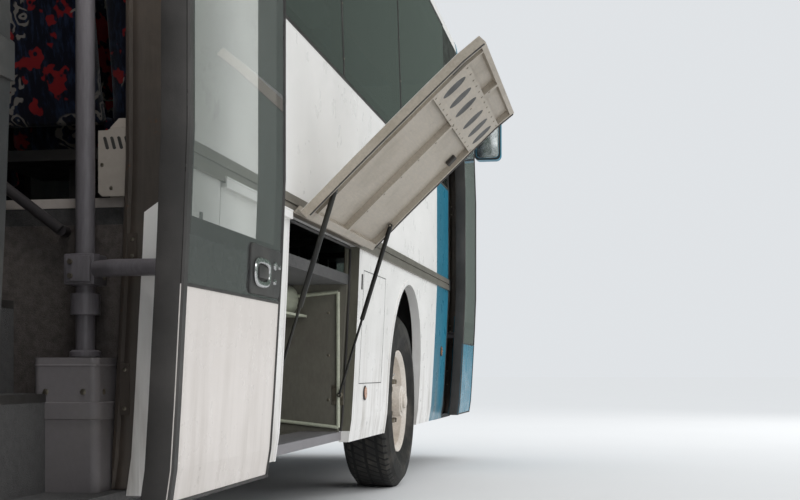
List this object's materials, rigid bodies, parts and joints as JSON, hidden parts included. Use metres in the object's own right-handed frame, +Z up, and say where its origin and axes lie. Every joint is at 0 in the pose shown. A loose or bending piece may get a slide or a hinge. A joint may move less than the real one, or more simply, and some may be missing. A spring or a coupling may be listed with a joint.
{
  "type": "coach bus",
  "caption": "Long-distance coach with hinged luggage flaps held on gas struts, outward swinging doors on column arms, steered front wheels and twin rear wheels.",
  "frame": {"origin": "middle of the coach's length and width on the ground, as it stands with its right luggage flap and doors open", "axes": "+X towards the front of the coach, +Y to its left, +Z up"},
  "size_m": [12.2457, 3.5461, 3.612],
  "materials": {
    "white_paint": "gloss",
    "blue_paint": "gloss",
    "dark_frame": "satin",
    "glass": "clear",
    "rail_metal": "satin",
    "bare_panel": "satin",
    "chassis_steel": "matt",
    "black_plastic": "matt",
    "grey_plastic": "matt",
    "floor_cover": "matt",
    "tyre": "matt",
    "wheel_paint": "gloss",
    "seat_fabric": "woven",
    "column_steel": "satin",
    "strut_black": "gloss",
    "rod_chrome": "polished",
    "lamp_clear": "gloss",
    "amber_lamp": "gloss",
    "cast_iron": "matt",
    "tray_metal": "satin"
  },
  "bodies": {
    "coach_body": {"chassis_frame": "chassis_steel", "floor_deck": "floor_cover", "lower_side_right": "white_paint", "lower_side_left": "white_paint", "upper_side_right": "dark_frame", "upper_side_left": "dark_frame", "roof_shell": "white_paint", "front_mask": "blue_paint", "front_bumper": "blue_paint", "windscreen": "glass", "lamps": "lamp_clear", "rear_mask": "white_paint", "rear_bumper": "white_paint", "rear_glass": "glass", "side_windows": "glass", "waist_rails": "rail_metal", "wheelhouses": "chassis_steel", "luggage_bay": "tray_metal", "bay_duct": "grey_plastic", "front_axle": "cast_iron", "rear_axle": "cast_iron", "engine_block": "cast_iron", "fuel_tank": "tray_metal", "door_covers": "black_plastic", "seat_cushions_right": "seat_fabric", "seat_cushions_left": "seat_fabric", "seat_frames_right": "black_plastic", "seat_frames_left": "black_plastic", "overhead_racks": "grey_plastic", "dashboard": "black_plastic", "driver_seat": "seat_fabric", "mid_well_trim": "black_plastic", "mirrors": "blue_paint", "side_markers": "amber_lamp", "wipers": "strut_black"},
    "knuckle_right": {"knuckle_right": "cast_iron"},
    "knuckle_left": {"knuckle_left": "cast_iron"},
    "front_wheel_right": {"front_rim_right": "wheel_paint", "front_tyre_right": "tyre"},
    "front_wheel_left": {"front_rim_left": "wheel_paint", "front_tyre_left": "tyre"},
    "rear_wheels_right": {"rear_rims_right": "wheel_paint", "rear_tyres_right": "tyre"},
    "rear_wheels_left": {"rear_rims_left": "wheel_paint", "rear_tyres_left": "tyre"},
    "mid_door_arm": {"mid_door_arm": "column_steel"},
    "mid_door_leaf": {"mid_door_leaf": "white_paint", "mid_door_pane": "glass"},
    "front_door_arm": {"front_door_arm": "column_steel"},
    "front_door_leaf": {"front_door_leaf": "blue_paint", "front_door_pane": "glass"},
    "flap_right_a": {"luggage_flap_right_a": "bare_panel"},
    "flap_right_b": {"luggage_flap_right_b": "white_paint"},
    "flap_left_a": {"luggage_flap_left_a": "white_paint"},
    "flap_left_b": {"luggage_flap_left_b": "white_paint"},
    "strut_tubes": {"strut_tubes": "strut_black"},
    "strut_rods": {"strut_rods": "rod_chrome"},
    "engine_lid": {"engine_lid": "white_paint"},
    "steering_wheel": {"steering_wheel": "black_plastic"}
  },
  "joints": [
    {"name": "steer_right", "type": "hinge", "parent": "coach_body", "child": "knuckle_right", "pos_m": [3.025, -0.66, 0.52], "axis": [0, 0, 1], "range_deg": [-38, 38]},
    {"name": "steer_left", "type": "hinge", "parent": "coach_body", "child": "knuckle_left", "pos_m": [3.025, 1.06, 0.52], "axis": [0, 0, 1], "range_deg": [-38, 38]},
    {"name": "steering_wheel_turn", "type": "hinge", "parent": "coach_body", "child": "steering_wheel", "pos_m": [5.195, 0.82, 1.33], "axis": [-0.4695, 0, 0.8829], "range_deg": [-570, 570]},
    {"name": "front_wheel_right_spin", "type": "hinge", "parent": "knuckle_right", "child": "front_wheel_right", "pos_m": [3.025, -0.864, 0.52], "axis": [0, 1, 0], "continuous": true},
    {"name": "front_wheel_left_spin", "type": "hinge", "parent": "knuckle_left", "child": "front_wheel_left", "pos_m": [3.025, 1.264, 0.52], "axis": [0, 1, 0], "continuous": true},
    {"name": "rear_wheels_right_spin", "type": "hinge", "parent": "coach_body", "child": "rear_wheels_right", "pos_m": [-3.125, -0.864, 0.52], "axis": [0, 1, 0], "continuous": true},
    {"name": "rear_wheels_left_spin", "type": "hinge", "parent": "coach_body", "child": "rear_wheels_left", "pos_m": [-3.125, 1.264, 0.52], "axis": [0, 1, 0], "continuous": true},
    {"name": "mid_door_swing", "type": "hinge", "parent": "coach_body", "child": "mid_door_arm", "pos_m": [-1.166, -0.806, 0.99], "axis": [0, 0, 1], "range_deg": [-81.71, 0]},
    {"name": "mid_door_level", "type": "hinge", "parent": "mid_door_arm", "child": "mid_door_leaf", "pos_m": [-1.08437, -1.175, 0.99], "axis": [0, 0, 1], "range_deg": [0, 81.71]},
    {"name": "front_door_swing", "type": "hinge", "parent": "coach_body", "child": "front_door_arm", "pos_m": [5.604, -0.806, 0.99], "axis": [0, 0, 1], "range_deg": [-20.45, 61.26]},
    {"name": "front_door_level", "type": "hinge", "parent": "front_door_arm", "child": "front_door_leaf", "pos_m": [5.3197, -1.055, 0.99], "axis": [0, 0, 1], "range_deg": [-61.26, 20.45]},
    {"name": "flap_right_a_lift", "type": "hinge", "parent": "coach_body", "child": "flap_right_a", "pos_m": [0.855, -1.067, 1.322], "axis": [1, 0, 0], "range_deg": [0, 136.5]},
    {"name": "flap_right_b_lift", "type": "hinge", "parent": "coach_body", "child": "flap_right_b", "pos_m": [-0.265, -1.067, 1.322], "axis": [1, 0, 0], "range_deg": [-136.5, 0]},
    {"name": "flap_left_a_lift", "type": "hinge", "parent": "coach_body", "child": "flap_left_a", "pos_m": [0.855, 1.467, 1.322], "axis": [1, 0, 0], "range_deg": [0, 136.5]},
    {"name": "flap_left_b_lift", "type": "hinge", "parent": "coach_body", "child": "flap_left_b", "pos_m": [-0.265, 1.467, 1.322], "axis": [1, 0, 0], "range_deg": [0, 136.5]},
    {"name": "strut_turn", "type": "hinge", "parent": "flap_right_a", "child": "strut_tubes", "pos_m": [0.855, -1.21532, 1.41147], "axis": [1, 0, 0], "range_deg": [-147.49, 0]},
    {"name": "strut_slide", "type": "slide", "parent": "strut_tubes", "child": "strut_rods", "axis": [0, 0.2973, -0.9548], "range_m": [-0.29213, 0]},
    {"name": "engine_lid_lift", "type": "hinge", "parent": "coach_body", "child": "engine_lid", "pos_m": [-6.125, 0.2, 1.634], "axis": [0, 1, 0], "range_deg": [0, 80]}
  ],
  "couplings": [
    {"joint": "steer_left", "follows": "steer_right", "ratio": 1},
    {"joint": "steering_wheel_turn", "follows": "steer_right", "ratio": 15},
    {"joint": "mid_door_level", "follows": "mid_door_swing", "ratio": -1},
    {"joint": "front_door_level", "follows": "front_door_swing", "ratio": -1},
    {"joint": "strut_turn", "follows": "flap_right_a_lift", "ratio": -1.0805},
    {"joint": "strut_slide", "follows": "flap_right_a_lift", "m_per_rad": -0.12262}
  ]
}
